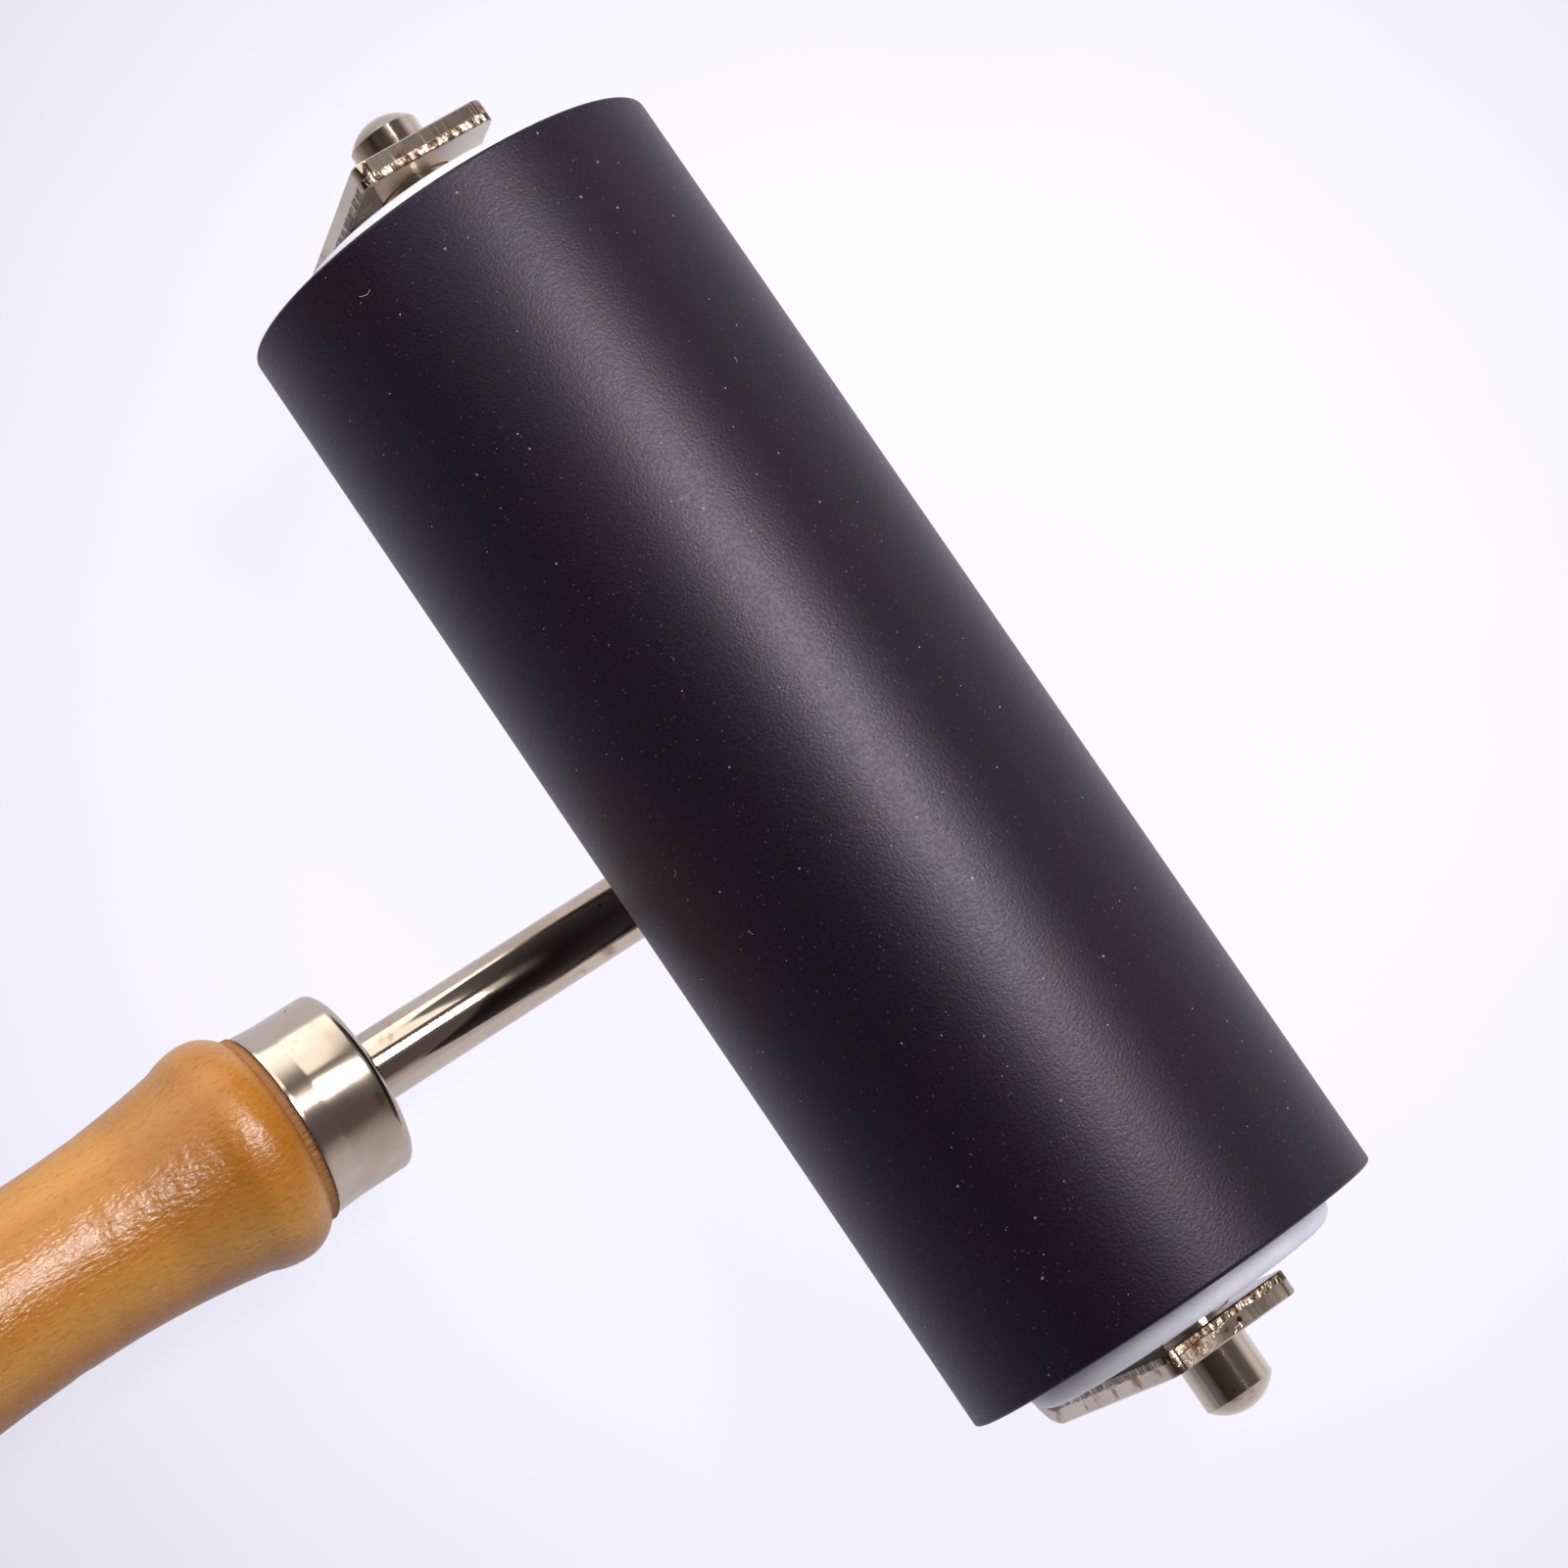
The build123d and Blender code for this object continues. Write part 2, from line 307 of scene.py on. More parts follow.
def makePlastic():
    look = plasticLook
    material, tree, surface, place = startMaterial("whitePlastic", turned=False)
    cloud = fromGroup(tree, blotchGroup, Vector=place, **look["cloud"])
    stains = fromGroup(tree, speckGroup, Vector=place, **look["stainSpots"])
    fine = noiseOf(tree, place, look["fineScale"])
    base = blendColours(tree, cloud, look["white"], look["shade"])
    setInputs(tree, surface, {
        "Base Color": blendColours(tree, stains, base, look["stain"]),
        "Roughness": mapRange(tree, fine, given=look["roughness"]),
        "Subsurface Weight": look["softness"], "Subsurface Radius": look["softTint"],
        "Subsurface Scale": look["softDepth"]})
    addBump(tree, surface, fine, look["fineHeight"], look["fineStrength"])
    return material


nickelLook = {"bright": colour(213, 198, 180), "dull": colour(194, 176, 156), "stain": colour(128, 88, 58),
              "pit": colour(84, 66, 54), "cloud": {"Scale": 90.0, "Low": 0.4, "High": 0.68},
              "tarnish": {"Scale": 260.0, "Detail": 6.0, "Low": 0.62, "High": 0.74}, "tarnishDepth": 0.55,
              "pitSpots": {"Spacing": 520.0, "Size": 0.16}, "scratches": {"Scale": 70.0, "Width": 0.006},
              "scratchDull": 0.18, "scratchDepth": 0.1, "waveScale": 170.0, "waveStrength": 0.5}
shearLook = {"torn": colour(84, 66, 52), "rust": colour(116, 66, 34), "raggedScale": 900.0, "raggedReach": 0.22,
             "tearLine": (0.5, 0.46), "combStretch": (1.0, 0.06, 1.0), "combScale": 3400.0,
             "combHeight": 0.03 * mm, "combStrength": 0.35, "gritStretch": (1.0, 0.3, 1.0), "gritScale": 2700.0,
             "gritHeight": 0.22 * mm, "gritStrength": 0.9, "gritShade": (0.38, 0.54), "wear": 0.15,
             "rustPatches": {"Scale": 420.0, "Low": 0.56, "High": 0.7}, "tornRoughness": 0.16}


def addShear(tree, surface, place, base, rough, normal):
    # the burnished and torn bands that a die leaves on a cut edge
    look = shearLook
    edge = addNode(tree, "ShaderNodeAttribute", attribute_name="cutEdge").outputs["Fac"]
    depth = addNode(tree, "ShaderNodeAttribute", attribute_name="cutDepth").outputs["Fac"]
    # the tear starts a little past the middle, on a ragged line
    ragged = noiseOf(tree, place, look["raggedScale"], 3.0)
    line = maths(tree, "MULTIPLY_ADD", ragged, look["raggedReach"], depth)
    torn = maths(tree, "MULTIPLY", mapRange(tree, line, look["tearLine"]), edge)
    burnished = maths(tree, "SUBTRACT", edge, torn)
    # combed striations run through the strip's thickness, and the tear is coarser
    comb = noiseOf(tree, stretched(tree, place, look["combStretch"]), look["combScale"])
    grit = noiseOf(tree, stretched(tree, place, look["gritStretch"]), look["gritScale"], 4.0)
    normal = addBump(tree, surface, maths(tree, "MULTIPLY", comb, burnished), look["combHeight"],
                     look["combStrength"], normal)
    addBump(tree, surface, maths(tree, "MULTIPLY", grit, torn), look["gritHeight"], look["gritStrength"], normal)
    shade = maths(tree, "MULTIPLY", mapRange(tree, grit, look["gritShade"]), torn)
    rusty = maths(tree, "MULTIPLY", fromGroup(tree, blotchGroup, Vector=place, **look["rustPatches"]), edge)
    base = blendColours(tree, maths(tree, "MULTIPLY", edge, look["wear"]), base, look["torn"])
    base = blendColours(tree, shade, base, look["torn"])
    base = blendColours(tree, rusty, base, look["rust"])
    return base, maths(tree, "MULTIPLY_ADD", torn, look["tornRoughness"], rough)


def makeNickel(name, roughness, waviness, pits, scratchStretch, sheared=False):
    look = nickelLook
    material, tree, surface, place = startMaterial(name)
    cloud = fromGroup(tree, blotchGroup, Vector=place, **look["cloud"])
    spots = fromGroup(tree, speckGroup, Vector=place, Share=pits, **look["pitSpots"])
    tarnish = fromGroup(tree, blotchGroup, Vector=place, **look["tarnish"])
    scratches = fromGroup(tree, scratchGroup, Vector=place, Stretch=scratchStretch, **look["scratches"])
    base = blendColours(tree, cloud, look["bright"], look["dull"])
    base = blendColours(tree, maths(tree, "MULTIPLY", tarnish, look["tarnishDepth"]), base, look["stain"])
    base = blendColours(tree, spots, base, look["pit"])
    rough = maths(tree, "MULTIPLY_ADD", scratches, look["scratchDull"], mapRange(tree, cloud, given=roughness))
    wave = noiseOf(tree, place, look["waveScale"])
    ridges = maths(tree, "MULTIPLY_ADD", scratches, -look["scratchDepth"], wave)
    normal = addBump(tree, surface, ridges, waviness, look["waveStrength"])
    if sheared:
        base, rough = addShear(tree, surface, place, base, rough, normal)
    setInputs(tree, surface, {"Base Color": base, "Roughness": rough, "Metallic": 1.0})
    return material


woodLook = {"pale": colour(213, 155, 73), "honey": colour(187, 121, 41), "dark": colour(152, 92, 32),
            "fleck": colour(128, 76, 28), "shadeAndDarkBand": colour(100, 54, 24), "coat": 0.08, "coatRoughness": 0.22,
            "roughness": (0.18, 0.36), "ringRoughness": 0.3,
            "ringStretch": (0.12, 1.0, 1.0), "ringSpacing": 38.0, "ringWander": 9.0,
            "patchScale": 110.0, "patchRange": (0.35, 0.7), "patchDepth": 0.75,
            "fleckStretch": (0.3, 1.0, 1.0), "fleckScale": 3600.0, "fleckRange": (0.54, 0.72), "fleckDepth": 0.42,
            "fibreStretch": (0.05, 1.0, 1.0), "fibreScale": 4200.0, "fibreRange": (0.4, 0.7), "fibreDepth": 0.3,
            "shoulderScale": 2600.0, "shoulderHeight": 0.35 * mm, "shoulderStrength": 0.9,
            "dentStretch": (1.0, 0.35, 0.35), "dentScale": 620.0, "dentHeight": 0.2 * mm, "dentStrength": 0.6,
            "silkStretch": (0.45, 1.0, 1.0), "silkScale": 3000.0, "silkHeight": 0.12 * mm, "silkStrength": 0.9}


def makeWood():
    look = woodLook
    material, tree, surface, place = startMaterial("varnishedWood")
    # growth rings are cylinders about a line beside the handle, drawn out along it
    long = stretched(tree, place, look["ringStretch"])
    bands = addNode(tree, "ShaderNodeTexWave", {
        "Vector": long, "Scale": look["ringSpacing"], "Distortion": look["ringWander"], "Detail": 3.0,
        "Detail Scale": 1.2}, wave_type="RINGS", rings_direction="X")
    body = blendColours(tree, bands.outputs["Fac"], look["pale"], look["honey"])
    patches = noiseOf(tree, long, look["patchScale"], 3.0)
    body = blendColours(tree, mapRange(tree, patches, look["patchRange"], (0.0, look["patchDepth"])),
                        body, look["dark"])
    # short dark flecks and fine fibres lie along the grain
    flecks = noiseOf(tree, stretched(tree, place, look["fleckStretch"]), look["fleckScale"])
    body = blendColours(tree, mapRange(tree, flecks, look["fleckRange"], (0.0, look["fleckDepth"])),
                        body, look["fleck"])
    alongFibre = stretched(tree, place, look["fibreStretch"])
    fibres = noiseOf(tree, alongFibre, look["fibreScale"])
    body = blendColours(tree, mapRange(tree, fibres, look["fibreRange"], (0.0, look["fibreDepth"])),
                        body, look["honey"])
    # partly painted shade: a painted dark line of shade where the wood meets the ferrule's rim, besides the darker
    # torn shoulder behind it and a faint darker band behind the bead
    shadeAndDarkBand = addNode(tree, "ShaderNodeAttribute", attribute_name="rimShadeAndDarkBands").outputs["Fac"]
    torn = addNode(tree, "ShaderNodeAttribute", attribute_name="roughRing").outputs["Fac"]
    rough = mapRange(tree, fibres, given=look["roughness"])
    setInputs(tree, surface, {
        "Base Color": blendColours(tree, shadeAndDarkBand, body, look["shadeAndDarkBand"]),
        "Roughness": maths(tree, "MULTIPLY_ADD", torn, look["ringRoughness"], rough),
        "Coat Weight": maths(tree, "MULTIPLY_ADD", torn, -look["coat"], look["coat"]),
        "Coat Roughness": look["coatRoughness"]})
    # the shoulder behind the ferrule is torn; elsewhere dents lie across the grain and a silky figure along it
    shoulder = maths(tree, "MULTIPLY", noiseOf(tree, alongFibre, look["shoulderScale"], 4.0), torn)
    normal = addBump(tree, surface, shoulder, look["shoulderHeight"], look["shoulderStrength"])
    dents = noiseOf(tree, stretched(tree, place, look["dentStretch"]), look["dentScale"], 3.0)
    normal = addBump(tree, surface, dents, look["dentHeight"], look["dentStrength"], normal)
    silk = noiseOf(tree, stretched(tree, place, look["silkStretch"]), look["silkScale"], 3.0)
    addBump(tree, surface, silk, look["silkHeight"], look["silkStrength"], normal)
    return material


steelLook = {"pale": colour(120, 122, 128), "dark": colour(88, 86, 90), "roughness": (0.28, 0.45),
             "cloud": {"Scale": 300.0, "Low": 0.35, "High": 0.7}}
lintLook = {"pale": colour(226, 222, 218), "dark": colour(176, 168, 160), "roughness": 0.8,
            "cloud": {"Scale": 900.0, "Low": 0.3, "High": 0.7}}


def makeSteel():
    look = steelLook
    material, tree, surface, place = startMaterial("springSteel")
    cloud = fromGroup(tree, blotchGroup, Vector=place, **look["cloud"])
    setInputs(tree, surface, {
        "Base Color": blendColours(tree, cloud, look["pale"], look["dark"]), "Metallic": 1.0,
        "Roughness": mapRange(tree, cloud, given=look["roughness"])})
    return material


def makeLint():
    look = lintLook
    material, tree, surface, place = startMaterial("dustWhite", turned=False)
    cloud = fromGroup(tree, blotchGroup, Vector=place, **look["cloud"])
    setInputs(tree, surface, {
        "Base Color": blendColours(tree, cloud, look["pale"], look["dark"]), "Roughness": look["roughness"]})
    return material


blackRubber = makeRubber()
whitePlastic = makePlastic()
nickelRod = makeNickel("nickelRod", (0.08, 0.16), 0.05 * mm, 0.25, (1.0, 14.0, 14.0))
nickelPin = makeNickel("nickelPin", (0.07, 0.18), 0.08 * mm, 0.3, (14.0, 1.0, 14.0))
nickelStrip = makeNickel("nickelStrip", (0.12, 0.24), 0.04 * mm, 0.45, (14.0, 14.0, 1.0), sheared=True)
nickelWeld = makeNickel("nickelWeld", (0.22, 0.4), 0.12 * mm, 0.6, (1.0, 6.0, 6.0))
ferruleSteel = makeNickel("ferruleSteel", (0.14, 0.24), 0.03 * mm, 0.35, (1.0, 10.0, 10.0))
varnishedWood = makeWood()
springSteel = makeSteel()
dustWhite = makeLint()
print("materials made")


# turned pieces

def makeTurnedTree():
    # turns an outline of edges about z: x of the outline is the radius less the pitch radius
    tree, inputs, outputs = startTree("turnedShape", "GeometryNodeTree", [
        ("Geometry", "NodeSocketGeometry", None), ("Segments", "NodeSocketInt", 96),
        ("Pitch Radius", "NodeSocketFloat", 0.01), ("Finish", "NodeSocketMaterial", None)],
        [("Geometry", "NodeSocketGeometry")])
    outline = addNode(tree, "GeometryNodeMeshToCurve", {"Mesh": inputs["Geometry"]})
    path = addNode(tree, "GeometryNodeCurvePrimitiveCircle", {
        "Resolution": inputs["Segments"], "Radius": inputs["Pitch Radius"]})
    swept = addNode(tree, "GeometryNodeCurveToMesh", {"Curve": path.outputs[0], "Profile Curve": outline.outputs[0]})
    closed = addNode(tree, "GeometryNodeMergeByDistance", {"Geometry": swept.outputs[0], "Distance": 1e-6})
    finishTree(tree, closed.outputs[0], inputs, outputs)
    return tree


turnedTree = makeTurnedTree()


def inMetres(rows):
    return [tuple(value * mm for value in row) for row in rows]


def roundOutline(corners, steps=7):
    # corners are (along, radius, rounding), joined all the way round
    points = []
    for index, (along, radius, rounding) in enumerate(corners):
        here = Vector((along, radius))
        if not rounding:
            points.append(here)
            continue
        toLast = (Vector(corners[index - 1][:2]) - here).normalized()
        toNext = (Vector(corners[(index + 1) % len(corners)][:2]) - here).normalized()
        half = toLast.angle(toNext) / 2
        centre = here + (toLast + toNext).normalized() * (rounding / math.sin(half))
        start = here + toLast * (rounding / math.tan(half)) - centre
        end = here + toNext * (rounding / math.tan(half)) - centre
        addArc(points, centre, start, end, rounding, range(steps + 1))
    return points


def addArc(points, centre, start, end, radius, steps):
    # start and end are seen from the centre; the last of the steps reaches the end
    first = math.atan2(start.y, start.x)
    turn = (math.atan2(end.y, end.x) - first + math.pi) % (2 * math.pi) - math.pi
    for step in steps:
        angle = first + turn * step / steps[-1]
        points.append(centre + Vector((math.cos(angle), math.sin(angle))) * radius)


def arcTo(points, end, radius, steps):
    # adds an arc to the outline: it swells outwards for a positive radius, and is hollow for a negative one
    start, end = points[-1], Vector(end)
    chord = end - start
    outward = Vector((-chord.y, chord.x)).normalized()
    height = math.sqrt(max(radius * radius - chord.length_squared / 4, 0))
    centre = (start + end) / 2 - outward * math.copysign(height, radius)
    addArc(points, centre, start - centre, end - centre, abs(radius), range(1, steps + 1))


def makeTurned(name, outline, place, segments, finish, ring):
    # outline in metres; a ring's outline is closed, any other starts and ends on the axis
    pitch = 0.01
    points = [(radius - pitch, -along, 0) for along, radius in outline]
    edges = [(i, i + 1) for i in range(len(points) - 1)]
    if ring:
        edges.append((len(points) - 1, 0))
    source = plainObject(name + "Outline", points, edges, [])
    piece = runTree(source, turnedTree, {"Segments": segments, "Pitch Radius": pitch, "Finish": finish}, name, place)
    bpy.data.objects.remove(source)
    tidyMesh(piece)
    return piece


rollerCentre = Vector((axleCentre.x, rollerMiddle, axleCentre.z))
sleeve = {"length": 100.0, "radius": 18.27, "coreRadius": 13.7, "edgeRound": 0.35, "segments": 220}
sleeveHalf = sleeve["length"] / 2
sleeveOutline = roundOutline(inMetres([
    (-sleeveHalf, sleeve["coreRadius"], 0), (-sleeveHalf, sleeve["radius"], sleeve["edgeRound"]),
    (sleeveHalf, sleeve["radius"], sleeve["edgeRound"]), (sleeveHalf, sleeve["coreRadius"], 0)]))
rubberSleeve = makeTurned("rubberRoller", sleeveOutline, placeAlong(rollerCentre, leftward, upward),
                          sleeve["segments"], blackRubber, True)
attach(rubberSleeve, "roller")
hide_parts("rubber_sleeve")

cap = {"flange": 2.0, "flangeRadius": 13.7, "edgeRound": 1.5, "plugRadius": 11.7, "plugDepth": 12.0, "rimRadius": 9.9,
       "hubRadius": 6.05, "boreRadius": 3.05, "web": 3.0, "segments": 144}
for side, way in (("left", 1), ("right", -1)):
    face = rollerCentre + leftward * way * sleeveHalf * mm
    capPlace = placeAlong(face, leftward * way, upward)
    capOutline = roundOutline(inMetres([
        (cap["flange"], cap["boreRadius"], 0.35), (cap["flange"], cap["flangeRadius"], cap["edgeRound"]),
        (0, cap["flangeRadius"], 0.1), (0, cap["plugRadius"], 0), (-cap["plugDepth"], cap["plugRadius"], 0.4),
        (-cap["plugDepth"], cap["rimRadius"], 0.3), (-cap["web"], cap["rimRadius"], 0.5),
        (-cap["web"], cap["hubRadius"], 0.5), (-cap["plugDepth"], cap["hubRadius"], 0.3),
        (-cap["plugDepth"], cap["boreRadius"], 0.3)]))
    endCap = makeTurned("endCap" + side.capitalize(), capOutline, capPlace, cap["segments"], whitePlastic, True)
    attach(endCap, "roller")
    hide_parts("end_cap_" + side)
print("roller made")

pin = {"radius": 3.0, "dome": 1.5, "domeSteps": 12, "segments": 96}
pinHalf = (axleHigh.y - axleLow.y) / 2
pinShoulder = pinHalf - pin["dome"] * mm
domeRadius = (pin["radius"] ** 2 + pin["dome"] ** 2) / (2 * pin["dome"]) * mm
pinOutline = [Vector((-pinHalf, 0))]
arcTo(pinOutline, (-pinShoulder, pin["radius"] * mm), domeRadius, pin["domeSteps"])
pinOutline.append(Vector((pinShoulder, pin["radius"] * mm)))
arcTo(pinOutline, (pinHalf, 0), domeRadius, pin["domeSteps"])
pinPlace = placeAlong(axleCentre, leftward, upward)
axlePin = makeTurned("axlePin", pinOutline, pinPlace, pin["segments"], nickelPin, False)
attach(axlePin, "axle_set")
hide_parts("axle")

rod = {"radius": 3.0, "front": 5.5, "reach": 37.0, "tang": 45.0, "chamfer": 0.6, "segments": 96}
rodBack = rod["reach"] + rod["tang"]
rodOutline = inMetres([
    (-rod["front"], 0), (-rod["front"], rod["radius"] - rod["chamfer"]),
    (-rod["front"] + rod["chamfer"], rod["radius"]), (rodBack - rod["chamfer"], rod["radius"]),
    (rodBack, rod["radius"] - rod["chamfer"]), (rodBack, 0)])
rodPlace = placeAlong(inWorld(0, 0, 0), -forward, upward)
shankRod = makeTurned("shankRod", rodOutline, rodPlace, rod["segments"], nickelRod, False)
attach(shankRod, "frame")
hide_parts("shank")

# the ferrule swells a little to its back rim, where the cup was trimmed
handlePlace = placeAlong(inWorld(-rod["reach"] * mm, 0, 0), -forward, upward)
cup = {"radius": 8.25, "waist": 8.1, "length": 7.6, "wall": 0.7, "holeRadius": 3.15, "frontRound": 0.9,
       "swell": 2.4, "swellRound": 6.0, "rim": 0.35, "segments": 144}
cupInside = cup["radius"] - cup["wall"]
cupOutline = roundOutline(inMetres([
    (0, cup["holeRadius"], 0.2), (0, cup["waist"], cup["frontRound"]),
    (cup["length"] - cup["swell"], cup["waist"], cup["swellRound"]),
    (cup["length"] - cup["rim"], cup["radius"], 0.1), (cup["length"], cup["radius"], 0.12),
    (cup["length"], cupInside, 0.1), (cup["wall"], cupInside, 0.7), (cup["wall"], cup["holeRadius"], 0.1)]))
ferruleCup = makeTurned("ferruleCup", cupOutline, handlePlace, cup["segments"], ferruleSteel, True)
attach(ferruleCup, "frame")
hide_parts("ferrule")
print("metal turnings made")


# handle

# lengths run from the ferrule's front; each arc is (end, radius there, its own radius, steps)
grip = {"bore": (46.0, 3.0), "nose": (0.7, 6.9), "noseEnd": 1.3, "ferruleLength": 7.6, "tenon": 7.55,
        "shoulder": 8.5, "shoulderEnd": 8.4, "shoulderSteps": 5, "broken": (0.15, 0.25),
        "beadTop": (11.4, 10.0, 3.75, 10), "beadEnd": (14.4, 9.344, 7.19, 10), "waist": (29.0, 8.0, -80, 22),
        "flank": (47.67, 9.461, -120, 26), "swell": (86.5, 12.5, 249.6, 44), "butt": (103.0, 10.189, 60, 18),
        "end": (106.66, 0, 16, 22), "segments": 160, "sharpAngle": 40,
        "seed": 5, "dents": 30, "dentPlace": (15, 99), "dentLength": (0.35, 0.9), "dentWidth": (1.2, 3.2),
        "dentDepth": (0.05, 0.16), "unevenness": 0.05, "tornEnd": 8.8, "tornDepth": 0.2,
        "roughRing": (7.4, 8.5, 0.5),
        "darkRings": ((0.5, 7.4, 8.4, 0.7), (0.45, 7.4, 7.8, 0.15), (0.22, 15.0, 20.0, 2.5))}
handleInverse = handlePlace.inverted()


def makeGripOutline():
    depth, bore = grip["bore"]
    nose, noseRadius = grip["nose"]
    front, shoulder = grip["ferruleLength"], grip["shoulder"]
    # the plain ring was trimmed with the ferrule on: its front edge is a little broken
    brokenLength, brokenDepth = grip["broken"]
    ring = front + brokenLength
    rows = [(depth, 0), (depth, bore), (nose, bore), (nose, noseRadius), (grip["noseEnd"], grip["tenon"]),
            (front, grip["tenon"]), (front, shoulder - brokenDepth), (ring, shoulder)]
    for step in range(1, grip["shoulderSteps"] + 1):
        rows.append((ring + (grip["shoulderEnd"] - ring) * step / grip["shoulderSteps"], shoulder))
    points = [Vector(row) for row in inMetres(rows)]
    for part in ("beadTop", "beadEnd", "waist", "flank", "swell", "butt", "end"):
        along, radius, arcRadius, steps = grip[part]
        arcTo(points, (along * mm, radius * mm), arcRadius * mm, steps)
    return points


def wearGrip(piece):
    # dents, a slightly uneven turning and a torn shoulder, all cut inwards only
    chance = random.Random(grip["seed"])
    dents = []
    for count in range(grip["dents"]):
        dents.append((chance.uniform(*grip["dentPlace"]) * mm, chance.uniform(0, 2 * math.pi),
                      chance.uniform(*grip["dentLength"]) * mm, chance.uniform(*grip["dentWidth"]) * mm,
                      chance.uniform(*grip["dentDepth"]) * mm))
    for vertex in piece.data.vertices:
        local = handleInverse @ vertex.co
        radius = math.hypot(local.x, local.y)
        # the tenon and the bore stay as they are
        if radius < 7.6 * mm and local.z < 90 * mm:
            continue
        angle = math.atan2(local.y, local.x)
        slow = mathNoise.noise(Vector((local.x, local.y, local.z * 0.4)) * 160)
        cut = grip["unevenness"] * mm * (0.5 + 0.5 * slow)
        if local.z < grip["tornEnd"] * mm:
            quick = mathNoise.noise(Vector((local.x, local.y, local.z * 0.3)) * 1500)
            cut += grip["tornDepth"] * mm * abs(quick)
        for place, turn, length, width, depth in dents:
            across = (angle - turn + math.pi) % (2 * math.pi) - math.pi
            reach = ((local.z - place) / length) ** 2 + (across * radius / width) ** 2
            if reach < 4:
                cut += depth * math.exp(-reach * 1.5)
        if radius > 1e-5:
            factor = (radius - cut) / radius
            vertex.co = handlePlace @ Vector((local.x * factor, local.y * factor, local.z))


def bandOf(co, low, high, soft):
    # 1 between low and high along the handle, falling off over soft on each side
    value = (handleInverse @ co).z / mm
    rise = min(max((value - low) / soft + 1, 0), 1)
    fall = min(max((high - value) / soft + 1, 0), 1)
    return rise * fall


woodGrip = makeTurned("woodGrip", makeGripOutline(), handlePlace, grip["segments"], varnishedWood, False)
wearGrip(woodGrip)
paintPoints(woodGrip, "roughRing", lambda co: bandOf(co, *grip["roughRing"]))
# the first two dark bands paint the shade in the gap at the ferrule's rim and darken the torn shoulder behind it; the
# third is a faint darker band behind the bead
paintPoints(woodGrip, "rimShadeAndDarkBands", lambda co: sum(amount * bandOf(co, *band) for amount, *band in grip["darkRings"]))
woodGrip.data.shade_smooth()
woodGrip.data.set_sharp_from_angle(angle=math.radians(grip["sharpAngle"]))
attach(woodGrip, "frame")
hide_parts("handle")
print("handle made")


# yoke

strap = {"width": 12.2, "thickness": 2.0, "back": 3.0, "bend": 3.8, "tip": 6.9, "tipRound": 1.15, "edge": 0.13,
         "holeRadius": 3.1, "holeEdge": 0.15, "holeSegments": 64, "armSteps": 26, "backSteps": 40, "bendSteps": 14,
         "tipSteps": 6, "sharpAngle": 24}
yokeLow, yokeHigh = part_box("yoke")
strapTop = stance["axleHeight"] + (strap["tip"] - strap["edge"]) * mm
tipReach = (strap["tipRound"] - strap["edge"]) * mm


def strapPath():
    # middle line of the strip, in the brayer's own (aside, above) axes, with its sideways direction outwards
    half, bend, bottom = strap["thickness"] * mm / 2, strap["bend"] * mm, strap["back"] * mm
    middleRadius = bend - half
    left = Vector((yokeHigh.y - bend, bottom + bend))
    right = Vector((yokeLow.y + bend, bottom + bend))
    stations = []

    def addArm(y, way):
        steps = strap["tipSteps"]
        levels = [strapTop - tipReach * (1 - math.cos(math.pi / 2 * k / steps)) for k in range(steps + 1)]
        last, count = levels[-1], strap["armSteps"]
        levels += [last + (bottom + bend - last) * k / count for k in range(1, count + 1)]
        rows = [(Vector((y - way * half, z)), Vector((way, 0)), z) for z in levels]
        stations.extend(rows[::way])

    def addBend(centre, first, steps):
        for k in steps:
            angle = first - math.pi / 2 * k / strap["bendSteps"]
            out = Vector((math.cos(angle), math.sin(angle)))
            stations.append((centre + out * middleRadius, out, None))

    addArm(yokeHigh.y, 1)
    addBend(left, 0, range(1, strap["bendSteps"] + 1))
    for k in range(1, strap["backSteps"]):
        y = left.x + (right.x - left.x) * k / strap["backSteps"]
        stations.append((Vector((y, bottom + half)), Vector((0, -1)), None))
    addBend(right, -math.pi / 2, range(strap["bendSteps"]))
    addArm(yokeLow.y, -1)
    return stations


def makeStrap():
    stations = strapPath()
    t, edge = strap["thickness"] / 2 * mm, strap["edge"] * mm
    full = strap["width"] / 2 * mm
    points, faces = [], []
    across = [-1, -0.5, 0, 0.5, 1]
    for middle, out, level in stations:
        w = full
        if level is not None and level > strapTop - tipReach:
            rise = level - (strapTop - tipReach)
            w = full - tipReach + math.sqrt(max(tipReach * tipReach - rise * rise, 0))
        inner = w - edge
        section = [(inner * k, t) for k in across] + [(w, t - edge), (w, 0), (w, edge - t)]
        section += [(-inner * k, -t) for k in across] + [(-w, edge - t), (-w, 0), (-w, t - edge)]
        for ahead, depth in section:
            place = middle + out * depth
            points.append(inWorld(ahead, place.x, place.y))
    ringSize = 16
    for row in range(len(stations) - 1):
        for k in range(ringSize):
            a, b = row * ringSize + k, row * ringSize + (k + 1) % ringSize
            faces.append((a, b, b + ringSize, a + ringSize))
    # each tip's face stands in a little from its rim
    for row in (0, len(stations) - 1):
        rim = [row * ringSize + k for k in range(ringSize)]
        centre = sum((points[i] for i in rim), Vector()) / ringSize
        first = len(points)
        for i in rim:
            offset = points[i] - centre
            ahead, side = offset.dot(forward), offset.dot(leftward)
            ahead = math.copysign(max(abs(ahead) - edge, 0), ahead)
            side = math.copysign(max(abs(side) - edge, 0), side)
            points.append(centre + forward * ahead + leftward * side + upward * edge)
        lids = [(k, k + 1, 11 - k, 12 - k) for k in range(4)] + [(4, 5, 6, 7, 8), (12, 13, 14, 15, 0)]
        faces += [tuple(first + k for k in lid) for lid in lids]
        faces += [(rim[k], rim[(k + 1) % ringSize], first + (k + 1) % ringSize, first + k) for k in range(ringSize)]
    piece = plainObject("yokeStrap", points, [], faces)
    piece.data.materials.append(nickelStrip)
    return piece


